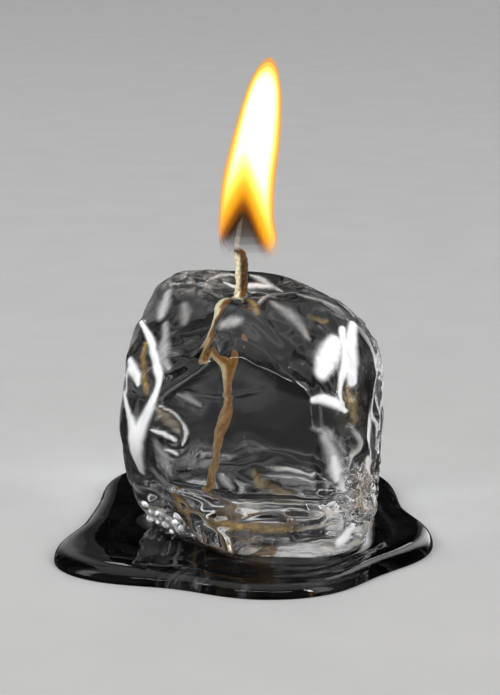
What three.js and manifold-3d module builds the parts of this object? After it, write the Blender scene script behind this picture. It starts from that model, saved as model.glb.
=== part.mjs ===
// A melted block candle. A clear, ice-like block has melted back at its edges and is chipped on one side.
// A cord wick runs down through it, a small pool of melt lies round the wick, a puddle of melt has spread
// round the foot, and the flame sits on the wick's burnt tip.
// Millimetres, +Z up. The origin is the middle of the block's flat underside, and its front faces -Y.
import * as THREE from "three";
import { mergeVertices } from "three/addons/utils/BufferGeometryUtils.js";
import Module from "manifold-3d";

const wasm = await Module();
wasm.setup();

// Two pieces that touch keep this gap between their surfaces.
const FIT_GAP = 0.3;

// The block is about 40 mm each way. Each side is a plane at its reach from the block's middle.
// Melted-back edges and corners are planes too, and EDGE_SHARPNESS rounds all of them into each other.
const BLOCK_MIDDLE = new THREE.Vector3(0, 0, 20);
const EDGE_SHARPNESS = 24;
const BLOCK_SIDES = [
  { name: "left side", normal: [-1, 0, -0.03], reach: 18.6 },
  { name: "right side", normal: [1, 0.03, -0.03], reach: 20.2 },
  { name: "front window", normal: [0, -1, 0.02], reach: 19.8 },
  { name: "back", normal: [0.04, 1, 0], reach: 19.6 },
  { name: "top", normal: [0.05, -0.02, 1], reach: 20.2 },
  { name: "underside, cut flat at the table", normal: [0, 0, -1], reach: 23 },
  { name: "melted top left edge", normal: [-0.9, 0.05, 0.42], reach: 22 },
  { name: "melted top left front corner", normal: [-0.5, -0.42, 0.75], reach: 19.5 },
  { name: "melted top left back corner", normal: [-0.4, 0.5, 0.77], reach: 24.6 },
  { name: "melted top front edge", normal: [0.34, -0.56, 0.76], reach: 21.4 },
  { name: "melted top right front corner", normal: [0.45, -0.62, 0.64], reach: 23.2 },
  { name: "melted top right edge", normal: [0.5, 0.2, 0.84], reach: 21.5 },
  { name: "melted right shoulder", normal: [0.84, 0.1, 0.53], reach: 21.9 },
  { name: "melted top back edge", normal: [0.12, 0.62, 0.78], reach: 22.6 },
  { name: "melted left front edge", normal: [-0.62, -0.78, 0.02], reach: 22.1 },
  { name: "melted right front edge", normal: [0.6, -0.8, 0.04], reach: 22.4 },
  { name: "melted right front edge, outer", normal: [0.88, -0.46, 0], reach: 22.6 },
  { name: "melted left back edge", normal: [-0.7, 0.71, 0], reach: 24.4 },
  { name: "melted right back edge", normal: [0.72, 0.69, 0], reach: 25.6 },
  { name: "melted foot, left", normal: [-0.8, 0, -0.6], reach: 22.6 },
  { name: "melted foot, right", normal: [0.7, 0, -0.71], reach: 25.9 },
  { name: "melted foot, front left corner", normal: [-0.58, -0.6, -0.55], reach: 21.2 },
  { name: "melted foot, back", normal: [0.1, 0.72, -0.69], reach: 25.5 },
];

// Soft hollows that the melt has left, each with its middle on the surface, its depth and its radius.
const HOLLOWS = [
  { name: "dish round the wick", at: [-1.2, 0.3, 40], depth: 3.3, radius: 3.7 },
  { name: "left front scoop", at: [-14, -17, 14], depth: 1.3, radius: 4 },
  { name: "upper left run", at: [-19, -10, 27], depth: 0.9, radius: 3.5 },
  { name: "right front scoop", at: [15, -17, 13], depth: 1.2, radius: 4 },
  { name: "right front run", at: [17, -15, 29], depth: 0.8, radius: 3 },
  { name: "front face sag", at: [2, -20, 21], depth: 0.5, radius: 7 },
  { name: "back face scoop", at: [-6, 20, 16], depth: 1.1, radius: 5 },
  { name: "back shoulder run", at: [9, 18, 31], depth: 0.9, radius: 4 },
];
const RIPPLE_DEPTH = 0.16;

// Shell-shaped chips on the right side, each the bite of a ball into the block.
const CHIPS = [
  { at: [28.2, -8, 25], radius: 9.2 },
  { at: [28.6, 6, 22], radius: 9.6 },
  { at: [27.6, -9, 12], radius: 8.6 },
  { at: [27.6, 4, 10], radius: 8.4 },
  { at: [25.6, 14, 29], radius: 9 },
];

// Beads of melt that cling to the left front of the foot.
const BEADS = { count: 8, from: [-16.6, -9, 7.6], to: [-11.4, -17.6, 5], small: 0.5, large: 0.95, wander: 0.5, detail: 2 };

// The wick is a three-strand cord. It wanders through the block, bends over at its foot, stands up out of
// the melt, and ends in a thin burnt strand.
const WICK_RADIUS = 1;
const STRANDS = { count: 3, depth: 0.13, turn: 7 };
const WICK_PATH = [
  [6.6, -0.6, 3.2],
  [3.4, -0.2, 2.7],
  [0, 0.2, 3],
  [-3.2, 0.3, 4.6],
  [-4.9, 0.2, 8.4],
  [-5, 0, 13],
  [-4.2, 0.2, 18],
  [-3.1, 0.3, 23],
  [-2.6, 0.1, 28],
  [-2.5, 0, 32.5],
  [-1.5, 0, 37],
  [-1.3, 0, 41],
  [-1.35, 0, 44.2],
  [-1.75, 0.05, 45.8],
  [-1.55, 0.1, 47.8],
  [-1.1, 0, 50],
  [-0.45, 0, 52],
];
const BURNT_FROM = 44.4;
const BURNT_SHOULDER = 1.5;
const BURNT_RADIUS = 0.36;
const TIP_RADIUS = 0.16;

// The pool of melt in the dish.
const POOL = { middle: [-1.3, 0], level: 38.4, edge: 0.15, climb: 0.45, climbWidth: 0.5, widest: 8, tries: 60 };

// The puddle round the foot: its height, the width of its rounded edge, how far the melt climbs the block,
// and the lobes of its outline, each with its bearing in degrees from +X.
const PUDDLE = { height: 2.3, edgeWidth: 3.4, climb: 0.8, climbWidth: 1.1, reach: 25.6 };
const PUDDLE_LOBES = [
  { name: "left front corner", bearing: 217, length: 7.2, spread: 17 },
  { name: "front", bearing: 288, length: 3.9, spread: 22 },
  { name: "right", bearing: 349, length: 3.4, spread: 15 },
  { name: "right back corner", bearing: 61, length: 9, spread: 16 },
  { name: "back", bearing: 92, length: 4, spread: 16 },
  { name: "left back corner", bearing: 129, length: 9.5, spread: 17 },
];

// The flame, as stations up its leaning middle line, with the dark hollow over the wick cut up into it.
const FLAME_STATIONS = [
  { height: 44, middle: -0.1, halfWidth: 3.9 },
  { height: 47, middle: -0.25, halfWidth: 4.45 },
  { height: 50.5, middle: -0.55, halfWidth: 4.25 },
  { height: 56, middle: -0.2, halfWidth: 4 },
  { height: 62.2, middle: 0.85, halfWidth: 3.6 },
  { height: 68.2, middle: 1.7, halfWidth: 2.7 },
  { height: 72.4, middle: 2.4, halfWidth: 1.55 },
  { height: 74.6, middle: 3, halfWidth: 0.05 },
];
const FLAME_DEPTH_SHARE = 0.9;
const FLAME_HOLLOW = { top: 52.45, lipWidth: 0.7, fullness: 0.6 };

// How finely each form is divided.
const BLOCK_GRID = { around: 72, up: 46 };
const WICK_GRID = { around: 12, along: 72 };
const BORE_GRID = { around: 10, along: 40 };
const POOL_GRID = { around: 32, across: 5 };
const PUDDLE_GRID = { around: 72, edge: 5, across: 5 };
const FLAME_GRID = { around: 24, up: 20, hollow: 8 };

const vector = (triple) => new THREE.Vector3(...triple);
const steps = (count) => Array.from({ length: count }, (_, i) => i);
const fullTurn = (share) => 2 * Math.PI * share;

const sides = BLOCK_SIDES.map(({ normal, reach }) => vector(normal).normalize().divideScalar(reach));
const hollows = HOLLOWS.map(({ at, depth, radius }) => ({ at: vector(at), depth, radius }));
const chips = CHIPS.map(({ at, radius }) => ({ at: vector(at).sub(BLOCK_MIDDLE), radius }));

// How far out of the block's middle a point lies, as a share: 1 is on the rounded planes.
function outwardShare(offset) {
  const sum = sides.reduce((total, side) => total + Math.max(side.dot(offset), 0) ** EDGE_SHARPNESS, 0);
  return sum ** (1 / EDGE_SHARPNESS);
}

// Low waves that melting has left all over the block.
function ripple({ x, y, z }) {
  const broad = Math.sin(7 * x + 3 * z + 1) * Math.sin(6 * y - 4 * z);
  const fine = Math.sin(11 * z + 5 * x) * Math.sin(9 * x - 7 * y + 2);
  return RIPPLE_DEPTH * (broad + 0.5 * fine);
}

// Distance from the block's middle to a chip's ball along a direction, or endless where the ball is missed.
function chipReach(direction, { at, radius }) {
  const nearest = direction.dot(at);
  const halfChord = radius ** 2 - at.lengthSq() + nearest ** 2;
  return halfChord > 0 && nearest > 0 ? nearest - Math.sqrt(halfChord) : Infinity;
}

// Distance from the block's middle to its surface along a direction.
function blockReach(direction) {
  const reach = 1 / outwardShare(direction);
  const point = direction.clone().multiplyScalar(reach).add(BLOCK_MIDDLE);
  const melted = hollows.reduce(
    (total, { at, depth, radius }) => total + depth * Math.exp(-point.distanceToSquared(at) / (2 * radius ** 2)),
    0,
  );
  const chipped = Math.min(...chips.map((chip) => chipReach(direction, chip)));
  return Math.min(reach - melted, chipped) + ripple(direction);
}

// The place along a ray where it leaves the block, found by halving the stretch that holds it.
function leavesBlock(start, heading, longest) {
  let inside = 0;
  let outside = longest;
  for (let i = 0; i < 30; i += 1) {
    const tried = (inside + outside) / 2;
    const offset = start.clone().addScaledVector(heading, tried).sub(BLOCK_MIDDLE);
    const distance = offset.length();
    if (distance < blockReach(offset.divideScalar(distance || 1))) inside = tried;
    else outside = tried;
  }
  return inside;
}

const outline = (angle, height) =>
  leavesBlock(new THREE.Vector3(0, 0, height), new THREE.Vector3(Math.cos(angle), Math.sin(angle), 0), 40);

const topHeight = (x, y) => 30 + leavesBlock(new THREE.Vector3(x, y, 30), new THREE.Vector3(0, 0, 1), 20);

// Closes a stack of rings into one surface. A ring of one point closes an end, and joined = true carries the
// last ring back to the first. Rings run anticlockwise about the way the stack rises.
function loft(rings, joined = false) {
  const points = rings.flat();
  const starts = rings.map((_, i) => rings.slice(0, i).reduce((total, ring) => total + ring.length, 0));
  const triangles = [];
  const pairs = joined ? rings.length : rings.length - 1;
  for (let i = 0; i < pairs; i += 1) {
    const next = (i + 1) % rings.length;
    const [low, high] = [rings[i].length, rings[next].length];
    for (const j of steps(Math.max(low, high))) {
      const [a, b] = [starts[i] + (j % low), starts[i] + ((j + 1) % low)];
      const [d, c] = [starts[next] + (j % high), starts[next] + ((j + 1) % high)];
      if (low > 1) triangles.push(a, b, c);
      if (high > 1) triangles.push(a, c, d);
      if (high === 1) triangles.splice(-3, 3, a, b, d);
    }
  }
  const geometry = new THREE.BufferGeometry().setFromPoints(points);
  geometry.setIndex(triangles);
  return geometry;
}

// A tube along a curve, with its radius given at each share of the length and at each bearing round it.
function sweep(curve, grid, radiusAt) {
  const frames = curve.computeFrenetFrames(grid.along, false);
  const rings = steps(grid.along + 1).map((i) => {
    const share = i / grid.along;
    const middle = curve.getPointAt(share);
    return steps(grid.around).map((j) => {
      const bearing = fullTurn(j / grid.around);
      const radius = radiusAt(share, bearing, middle);
      return middle
        .clone()
        .addScaledVector(frames.normals[i], radius * Math.cos(bearing))
        .addScaledVector(frames.binormals[i], radius * Math.sin(bearing));
    });
  });
  return loft([[curve.getPointAt(0)], ...rings, [curve.getPointAt(1)]]);
}

function toSolid(geometry) {
  const bare = geometry.clone();
  bare.deleteAttribute("normal");
  bare.deleteAttribute("uv");
  const merged = mergeVertices(bare, 1e-4);
  const mesh = new wasm.Mesh({
    numProp: 3,
    vertProperties: merged.attributes.position.array,
    triVerts: new Uint32Array(merged.index.array),
  });
  return new wasm.Manifold(mesh);
}

function toGeometry(solid) {
  const { vertProperties, triVerts } = solid.getMesh();
  const geometry = new THREE.BufferGeometry();
  geometry.setAttribute("position", new THREE.BufferAttribute(vertProperties, 3));
  geometry.setIndex(new THREE.BufferAttribute(triVerts, 1));
  return geometry;
}

function ball(middle, radius, detail) {
  return toSolid(new THREE.IcosahedronGeometry(radius, detail).translate(...middle));
}

const wickCurve = new THREE.CatmullRomCurve3(WICK_PATH.map(vector));

// Thickness of the wick by height: whole below the burnt end, then a shoulder down to a thin strand.
function wickRadius(height) {
  const shoulder = THREE.MathUtils.smoothstep(height, BURNT_FROM, BURNT_FROM + BURNT_SHOULDER);
  const strand = THREE.MathUtils.mapLinear(height, BURNT_FROM, WICK_PATH.at(-1)[2], BURNT_RADIUS, TIP_RADIUS);
  return THREE.MathUtils.lerp(WICK_RADIUS, strand, shoulder);
}

function wickGeometry() {
  const length = wickCurve.getLength();
  return sweep(wickCurve, WICK_GRID, (share, bearing, middle) => {
    const twist = fullTurn((share * length) / STRANDS.turn);
    const grooves = 1 - (STRANDS.depth * (1 - Math.cos(STRANDS.count * bearing + twist))) / 2;
    return wickRadius(middle.z) * grooves;
  });
}

// The bore that the wick fills, a gap wider all round and open into the dish.
function boreSolid() {
  const stretch = WICK_PATH.filter(([, , height]) => height < BURNT_FROM).map(vector);
  stretch[0].addScaledVector(stretch[0].clone().sub(stretch[1]).normalize(), FIT_GAP);
  const bore = new THREE.CatmullRomCurve3(stretch);
  return toSolid(sweep(bore, BORE_GRID, () => WICK_RADIUS + FIT_GAP));
}

function blockGeometry() {
  const rings = steps(BLOCK_GRID.up - 1).map((i) => {
    const fromBelow = (Math.PI * (i + 1)) / BLOCK_GRID.up;
    return steps(BLOCK_GRID.around).map((j) => {
      const bearing = fullTurn(j / BLOCK_GRID.around);
      const direction = new THREE.Vector3().setFromSphericalCoords(1, Math.PI - fromBelow, bearing);
      const upright = new THREE.Vector3(direction.z, direction.x, direction.y);
      return upright.multiplyScalar(blockReach(upright)).add(BLOCK_MIDDLE);
    });
  });
  const pole = (z) => {
    const direction = new THREE.Vector3(0, 0, z);
    return [direction.clone().multiplyScalar(blockReach(direction)).add(BLOCK_MIDDLE)];
  };
  const melted = toSolid(loft([pole(-1), ...rings, pole(1)]));
  const belowTable = toSolid(new THREE.BoxGeometry(80, 80, 20).translate(0, 0, -10));
  let block = melted.subtract(belowTable).subtract(boreSolid());
  for (const bead of beads()) block = block.add(bead);
  return toGeometry(block);
}

// Beads in an uneven row along the foot, each half sunk in the block.
function beads() {
  const start = vector(BEADS.from);
  const end = vector(BEADS.to);
  return steps(BEADS.count).map((i) => {
    const along = start.clone().lerp(end, i / (BEADS.count - 1));
    along.z += BEADS.wander * Math.sin(2.4 * i);
    const heading = along.clone().sub(BLOCK_MIDDLE).normalize();
    const middle = heading.clone().multiplyScalar(blockReach(heading)).add(BLOCK_MIDDLE);
    const radius = THREE.MathUtils.lerp(BEADS.small, BEADS.large, 0.5 + 0.5 * Math.sin(4.1 * i + 1));
    return ball(middle.toArray(), radius, BEADS.detail);
  });
}

// The radius at which the dish has risen to the pool's edge, or the pool's widest reach.
function poolEdge(inner, floor) {
  const tries = steps(POOL.tries).map((i) => inner + ((POOL.widest - inner) * i) / (POOL.tries - 1));
  return tries.find((radius) => floor(radius) > POOL.level - POOL.edge) ?? POOL.widest;
}

// The pool is a ring round the wick. Its top is level, climbs a little at the wick, and its underside
// follows the dish.
function poolGeometry() {
  const [x, y] = POOL.middle;
  const inner = WICK_RADIUS + FIT_GAP;
  const sections = steps(POOL_GRID.around).map((i) => {
    const bearing = fullTurn(i / POOL_GRID.around);
    const place = (radius, height) =>
      new THREE.Vector3(x + radius * Math.cos(bearing), y + radius * Math.sin(bearing), height);
    const floor = (radius) => {
      const { x: px, y: py } = place(radius, 0);
      return topHeight(px, py) + FIT_GAP;
    };
    const outer = poolEdge(inner, floor);
    const radii = steps(POOL_GRID.across).map((k) => inner + (outer - inner) * (k / (POOL_GRID.across - 1)));
    const surface = (radius) => POOL.level + POOL.climb * Math.exp(-(radius - inner) / POOL.climbWidth);
    const above = radii.map((radius) => place(radius, surface(radius)));
    const below = radii.map((radius) => place(radius, floor(radius))).reverse();
    return [...above, ...below];
  });
  return loft(sections, true);
}

const puddleReach = (bearing) =>
  PUDDLE_LOBES.reduce((reach, lobe) => {
    const turned = bearing - THREE.MathUtils.degToRad(lobe.bearing);
    const sharpness = 1 / THREE.MathUtils.degToRad(lobe.spread) ** 2;
    return reach + lobe.length * Math.exp(sharpness * (Math.cos(turned) - 1));
  }, PUDDLE.reach);

// The puddle is a ring round the foot. Its top is level, rounds off at the rim and climbs a little at the block.
function puddleGeometry() {
  const sections = steps(PUDDLE_GRID.around).map((i) => {
    const bearing = fullTurn(i / PUDDLE_GRID.around);
    const place = (radius, height) =>
      new THREE.Vector3(radius * Math.cos(bearing), radius * Math.sin(bearing), height);
    const wall = (height) => outline(bearing, height) + FIT_GAP;
    const highest = PUDDLE.height + PUDDLE.climb;
    const inner = wall(highest);
    const outer = puddleReach(bearing);
    const shoulder = outer - PUDDLE.edgeWidth;
    const level = steps(PUDDLE_GRID.across).map((k) => {
      const radius = inner + (shoulder - inner) * (k / PUDDLE_GRID.across) ** 1.5;
      return place(radius, PUDDLE.height + PUDDLE.climb * Math.exp(-(radius - inner) / PUDDLE.climbWidth));
    });
    const edge = steps(PUDDLE_GRID.edge + 1).map((k) => {
      const turn = (Math.PI / 2) * (k / PUDDLE_GRID.edge);
      return place(shoulder + PUDDLE.edgeWidth * Math.sin(turn), PUDDLE.height * Math.cos(turn));
    });
    const wallPoints = [0, PUDDLE.height / 3, (2 * PUDDLE.height) / 3].map((z) => place(wall(z), z));
    return [...level, ...edge, ...wallPoints];
  });
  return loft(sections, true);
}

const flameCurve = new THREE.CatmullRomCurve3(
  FLAME_STATIONS.map(({ height, middle, halfWidth }) => new THREE.Vector3(middle, halfWidth, height)),
);

// The flame's middle and half width at a height, read off the curve through the stations.
function flameAt(height) {
  let [low, high] = [0, 1];
  for (let i = 0; i < 30; i += 1) {
    const tried = (low + high) / 2;
    if (flameCurve.getPoint(tried).z < height) low = tried;
    else high = tried;
  }
  const { x: middle, y: halfWidth } = flameCurve.getPoint(low);
  return { middle, halfWidth };
}

function flameGeometry() {
  const lip = FLAME_STATIONS[0].height;
  const tip = FLAME_STATIONS.at(-1).height;
  const ring = (height, halfWidth, middle) =>
    steps(FLAME_GRID.around).map((j) => {
      const bearing = fullTurn(j / FLAME_GRID.around);
      const depth = FLAME_DEPTH_SHARE * halfWidth;
      return new THREE.Vector3(middle + halfWidth * Math.cos(bearing), depth * Math.sin(bearing), height);
    });
  const hollow = steps(FLAME_GRID.hollow).map((i) => {
    const down = (i + 1) / FLAME_GRID.hollow;
    const height = FLAME_HOLLOW.top + (lip - FLAME_HOLLOW.top) * down ** 1.4;
    const widest = FLAME_STATIONS[0].halfWidth - FLAME_HOLLOW.lipWidth;
    const halfWidth = widest * down ** (1.4 * FLAME_HOLLOW.fullness);
    return ring(height, halfWidth, flameAt(height).middle);
  });
  const mantle = steps(FLAME_GRID.up).map((i) => {
    const height = lip + (tip - lip) * Math.sin((Math.PI / 2) * (i / FLAME_GRID.up));
    const { middle, halfWidth } = flameAt(height);
    return ring(height, halfWidth, middle);
  });
  const apex = new THREE.Vector3(flameAt(FLAME_HOLLOW.top).middle, 0, FLAME_HOLLOW.top);
  const point = new THREE.Vector3(FLAME_STATIONS.at(-1).middle, 0, tip);
  return loft([[apex], ...hollow, ...mantle, [point]]);
}

const CLEAR = { color: 0xe6ecee, roughness: 0.04, metalness: 0, transparent: true, opacity: 0.4 };

function piece(name, geometry, look) {
  geometry.computeVertexNormals();
  const mesh = new THREE.Mesh(geometry, new THREE.MeshStandardMaterial(look));
  mesh.name = name;
  return mesh;
}

const candle = new THREE.Group();
candle.add(
  piece("clear_block", blockGeometry(), CLEAR),
  piece("wick", wickGeometry(), { color: 0xa9742c, roughness: 0.7, metalness: 0 }),
  piece("melt_pool", poolGeometry(), { ...CLEAR, roughness: 0.01 }),
  piece("melt_puddle", puddleGeometry(), { ...CLEAR, color: 0xc6ccce, roughness: 0.01 }),
  piece("flame", flameGeometry(), { color: 0xffc24a, emissive: 0xffa21e, roughness: 1, metalness: 0 }),
);

export default candle;
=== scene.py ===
# %% [markdown]
# # A melted block candle
# A clear, ice-like block has melted back at its edges. A cord wick runs down through it, a flame stands on
# the wick, and a puddle of melt lies round the foot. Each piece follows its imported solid, on the same origin
# and axes, and adds the fine surface and the finish that the real one shows. The block is worked out from the
# solid's own measures. The flame and the burnt strand differ from their solids by under 1 mm.

import math

import bpy
import numpy as np
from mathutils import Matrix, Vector


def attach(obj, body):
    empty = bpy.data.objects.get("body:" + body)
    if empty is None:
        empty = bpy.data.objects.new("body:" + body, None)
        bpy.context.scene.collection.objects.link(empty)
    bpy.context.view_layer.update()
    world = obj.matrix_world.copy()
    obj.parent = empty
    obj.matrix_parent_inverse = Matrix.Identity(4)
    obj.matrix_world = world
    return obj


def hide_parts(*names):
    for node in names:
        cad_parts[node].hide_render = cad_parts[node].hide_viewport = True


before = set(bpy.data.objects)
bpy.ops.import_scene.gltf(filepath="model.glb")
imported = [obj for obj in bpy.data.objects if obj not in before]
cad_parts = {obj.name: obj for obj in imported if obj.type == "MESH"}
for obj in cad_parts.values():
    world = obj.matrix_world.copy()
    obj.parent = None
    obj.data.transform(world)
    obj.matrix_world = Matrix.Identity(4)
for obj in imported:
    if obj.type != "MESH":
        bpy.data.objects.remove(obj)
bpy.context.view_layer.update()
MM = 0.001
print("nodes:", sorted(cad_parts))

# %% [markdown]
# ## The camera
# A photograph's viewpoint can be worked back from its outlines. The top of the block shows as a thin band and
# the puddle as a wide one, so the camera looks down by about 14 degrees from 0.3 m away. The camera comes
# first, because some marks on the block are placed where the photograph shows them.

# %% The camera
IMAGE = np.array([500, 695])
EYE_DISTANCE = 303.0
EYE_HEIGHT = 104.0
EYE_TURN = math.radians(6)
EYE_TILT = math.radians(13.7)
FOCAL_PIXELS = 2026
SENSOR = 36

eye = np.array([EYE_DISTANCE * math.sin(EYE_TURN), -EYE_DISTANCE * math.cos(EYE_TURN), EYE_HEIGHT])
lens = bpy.data.cameras.new("camera")
lens.sensor_width = SENSOR
lens.lens = FOCAL_PIXELS / IMAGE[1] * SENSOR
lens.clip_start = 0.01
lens.clip_end = 50
camera = bpy.data.objects.new("camera", lens)
camera.location = Vector(eye * MM)
camera.rotation_euler = (math.pi / 2 - EYE_TILT, 0, EYE_TURN)
bpy.context.scene.collection.objects.link(camera)
bpy.context.scene.camera = camera
print("lens in mm:", round(lens.lens, 1))


def sight_lines(pixels):
    """Directions from the eye through pixels of the photograph: the forward direction, plus the pixel's
    offset from the picture's middle over the focal length, to the right and down."""
    pixels = np.atleast_2d(np.asarray(pixels, float))
    ahead = np.array([-math.sin(EYE_TURN), math.cos(EYE_TURN), 0]) * math.cos(EYE_TILT)
    ahead[2] = -math.sin(EYE_TILT)
    right = np.array([math.cos(EYE_TURN), math.sin(EYE_TURN), 0])
    up = np.cross(right, ahead)
    offset = (pixels - IMAGE / 2) / FOCAL_PIXELS
    lines = ahead + offset[:, :1] * right - offset[:, 1:] * up
    return lines / np.linalg.norm(lines, axis=1, keepdims=True)


# %% [markdown]
# ## From numbers to a mesh
# A surface that is a grid of points needs no modelling by hand. numpy works the points out as whole arrays,
# and one helper joins neighbours in the grid into four-sided faces. Where the grid goes all the way round,
# its last column joins its first, and a fan of triangles closes each end.

# %% Grid to mesh


def full_turn(count):
    """Angles evenly round a circle."""
    return np.linspace(0, 2 * np.pi, count, endpoint=False)


def stacked(*parts):
    """Points from their x, y and z, each spread over the others' rows and columns."""
    return np.stack(np.broadcast_arrays(*parts), -1)


def ball_grid(rows, columns):
    """Directions in rows of one tilt, without the poles: the cosine of the tilt times the cosine and the sine
    of the bearing, and the sine of the tilt."""
    tilt = np.linspace(-np.pi / 2, np.pi / 2, rows + 2)[1:-1, None]
    bearing = full_turn(columns)[None, :]
    return stacked(np.cos(tilt) * np.cos(bearing), np.cos(tilt) * np.sin(bearing), np.sin(tilt))


def grid_faces(rows, columns, joined_rows=False):
    """Four-sided faces between neighbours of a grid whose columns go all the way round. With joined_rows the
    last row joins the first as well."""
    row, column = np.meshgrid(np.arange(rows if joined_rows else rows - 1), np.arange(columns), indexing="ij")
    next_row = (row + 1) % rows
    next_column = (column + 1) % columns
    corners = [row * columns + column, row * columns + next_column]
    corners += [next_row * columns + next_column, next_row * columns + column]
    return np.stack(corners, -1).reshape(-1, 4)


def end_fans(rows, columns, first, last):
    """Triangles from each end's middle point to the first and last row."""
    ring = np.arange(columns)
    following = (ring + 1) % columns
    start = np.stack([np.full(columns, first), following, ring], -1)
    top = (rows - 1) * columns
    end = np.stack([np.full(columns, last), top + ring, top + following], -1)
    return np.concatenate([start, end])


def make_mesh(name, points, faces, attributes=None):
    """An object at the origin with its points in millimetres, smooth shading and float point attributes."""
    mesh = bpy.data.meshes.new(name)
    mesh.from_pydata((points * MM).tolist(), [], [list(face) for group in faces for face in group.tolist()])
    for key, values in (attributes or {}).items():
        layer = mesh.attributes.new(key, "FLOAT", "POINT")
        layer.data.foreach_set("value", np.ascontiguousarray(values, np.float32))
    mesh.polygons.foreach_set("use_smooth", np.ones(len(mesh.polygons), bool))
    mesh.update()
    piece = bpy.data.objects.new(name, mesh)
    bpy.context.scene.collection.objects.link(piece)
    print(name, "has", len(mesh.polygons), "faces")
    return piece


def closed_rings(rings, ends=None, first=0):
    """Points and faces of a grid of rings that is drawn together at both ends: at the middle of the end ring,
    unless the ends are given. Its first point has the number first."""
    rows, columns = rings.shape[:2]
    if ends is None:
        ends = np.stack([rings[0].mean(0), rings[-1].mean(0)])
    fans = end_fans(rows, columns, rows * columns, rows * columns + 1)
    return np.concatenate([rings.reshape(-1, 3), ends]), [first + grid_faces(rows, columns), first + fans]


def smooth_step(value, low, high):
    """0 below low, 1 above high, and a soft S-shaped rise between them."""
    share = np.clip((value - low) / (high - low), 0, 1)
    return share * share * (3 - 2 * share)


def smooth_path(points, count):
    """Points evenly along a smooth curve through the given ones, which passes each with the slope between
    its neighbours."""
    padded = np.concatenate([2 * points[:1] - points[1:2], points, 2 * points[-1:] - points[-2:-1]])
    share = np.linspace(0, len(points) - 1, 1200)
    span = np.minimum(share.astype(int), len(points) - 2)
    step = (share - span)[:, None]
    before, start, end, after = (padded[span + k] for k in range(4))
    rough = start + 0.5 * step * (end - before)
    rough += step**2 * (before - 2.5 * start + 2 * end - 0.5 * after)
    rough += step**3 * (1.5 * (start - end) + 0.5 * (after - before))
    lengths = np.concatenate([[0], np.linalg.norm(np.diff(rough, axis=0), axis=1).cumsum()])
    even = np.linspace(0, lengths[-1], count)
    return np.stack([np.interp(even, lengths, column) for column in rough.T], -1), even


# %% [markdown]
# ## Shader sums in plain arithmetic
# A procedural finish is a sum of masks and noises. Written as nodes it takes a page of links, and written as
# Python arithmetic it is one line. The class below wraps a node's output, and each operator adds one Math
# node.

# %% Shader arithmetic


class Wire:
    """The output of a node. Arithmetic on it adds Math nodes to its material."""

    def __init__(self, finish, socket):
        self.finish = finish
        self.socket = socket

    def sum(self, operation, *values):
        return self.finish.node("ShaderNodeMath", {"operation": operation}, dict(enumerate(values)))

    def __add__(self, other):
        return self.sum("ADD", self, other)

    def __sub__(self, other):
        return self.sum("SUBTRACT", self, other)

    def __rsub__(self, other):
        return self.sum("SUBTRACT", other, self)

    def __mul__(self, other):
        return self.sum("MULTIPLY", self, other)

    __radd__ = __add__
    __rmul__ = __mul__

    def between(self, low, high):
        """A soft rise from 0 at low to 1 at high."""
        settings = {"interpolation_type": "SMOOTHSTEP", "clamp": True}
        values = {"Value": self, "From Min": low, "From Max": high}
        return self.finish.node("ShaderNodeMapRange", settings, values)

    def clipped(self):
        """Kept from 0 to 1."""
        return self.sum("MINIMUM", self.sum("MAXIMUM", self, 0), 1)


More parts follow.
